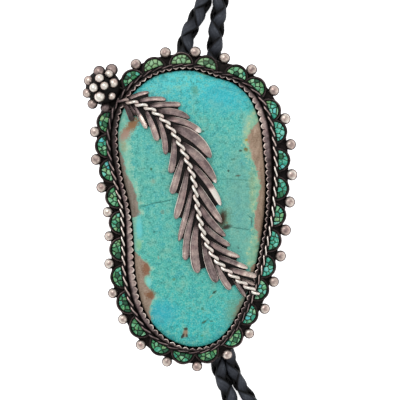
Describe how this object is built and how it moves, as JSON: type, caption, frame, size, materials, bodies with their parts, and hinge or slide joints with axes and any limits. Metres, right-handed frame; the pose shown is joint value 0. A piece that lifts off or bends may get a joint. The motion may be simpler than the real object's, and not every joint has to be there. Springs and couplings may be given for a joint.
{
  "type": "bolo tie",
  "caption": "Bolo tie lying on its back: a turquoise cabochon in a silver setting with chip inlay, beads and a feather, on a braided leather cord.",
  "frame": {"origin": "middle of the rear clip's flat underside, on the surface that the tie lies on", "axes": "+X to the right of the slide as it faces the viewer, +Y up along the slide towards the neck loop, +Z out of its face"},
  "size_m": [0.1865, 0.3618, 0.0163],
  "materials": {
    "silver": "cast and soldered silver, polished on its high places and dark with tarnish in its gaps",
    "turquoise": "domed and polished, blue-green with brown matrix and fine dark cracks",
    "chip_inlay": "crushed green stone set in dark resin, ground level and polished",
    "clip_metal": "plain bent sheet, satin",
    "braided_leather": "black four-strand braid with a soft sheen",
    "tip_metal": "spun silver cone, polished"
  },
  "bodies": {
    "root": {"setting": "silver", "turquoise": "turquoise", "inlay_01": "chip_inlay", "inlay_02": "chip_inlay", "inlay_03": "chip_inlay", "inlay_04": "chip_inlay", "inlay_05": "chip_inlay", "inlay_06": "chip_inlay", "inlay_07": "chip_inlay", "inlay_08": "chip_inlay", "inlay_09": "chip_inlay", "inlay_10": "chip_inlay", "inlay_11": "chip_inlay", "inlay_12": "chip_inlay", "inlay_13": "chip_inlay", "inlay_14": "chip_inlay", "inlay_15": "chip_inlay", "inlay_16": "chip_inlay", "inlay_17": "chip_inlay", "inlay_18": "chip_inlay", "inlay_19": "chip_inlay", "inlay_20": "chip_inlay", "inlay_21": "chip_inlay", "inlay_22": "chip_inlay", "inlay_23": "chip_inlay", "inlay_24": "chip_inlay", "inlay_25": "chip_inlay", "inlay_26": "chip_inlay", "inlay_27": "chip_inlay", "inlay_28": "chip_inlay", "rear_clip": "clip_metal", "neck_loop": "braided_leather", "tail_left": "braided_leather", "tail_right": "braided_leather", "tip_left": "tip_metal", "tip_right": "tip_metal"}
  },
  "joints": []
}
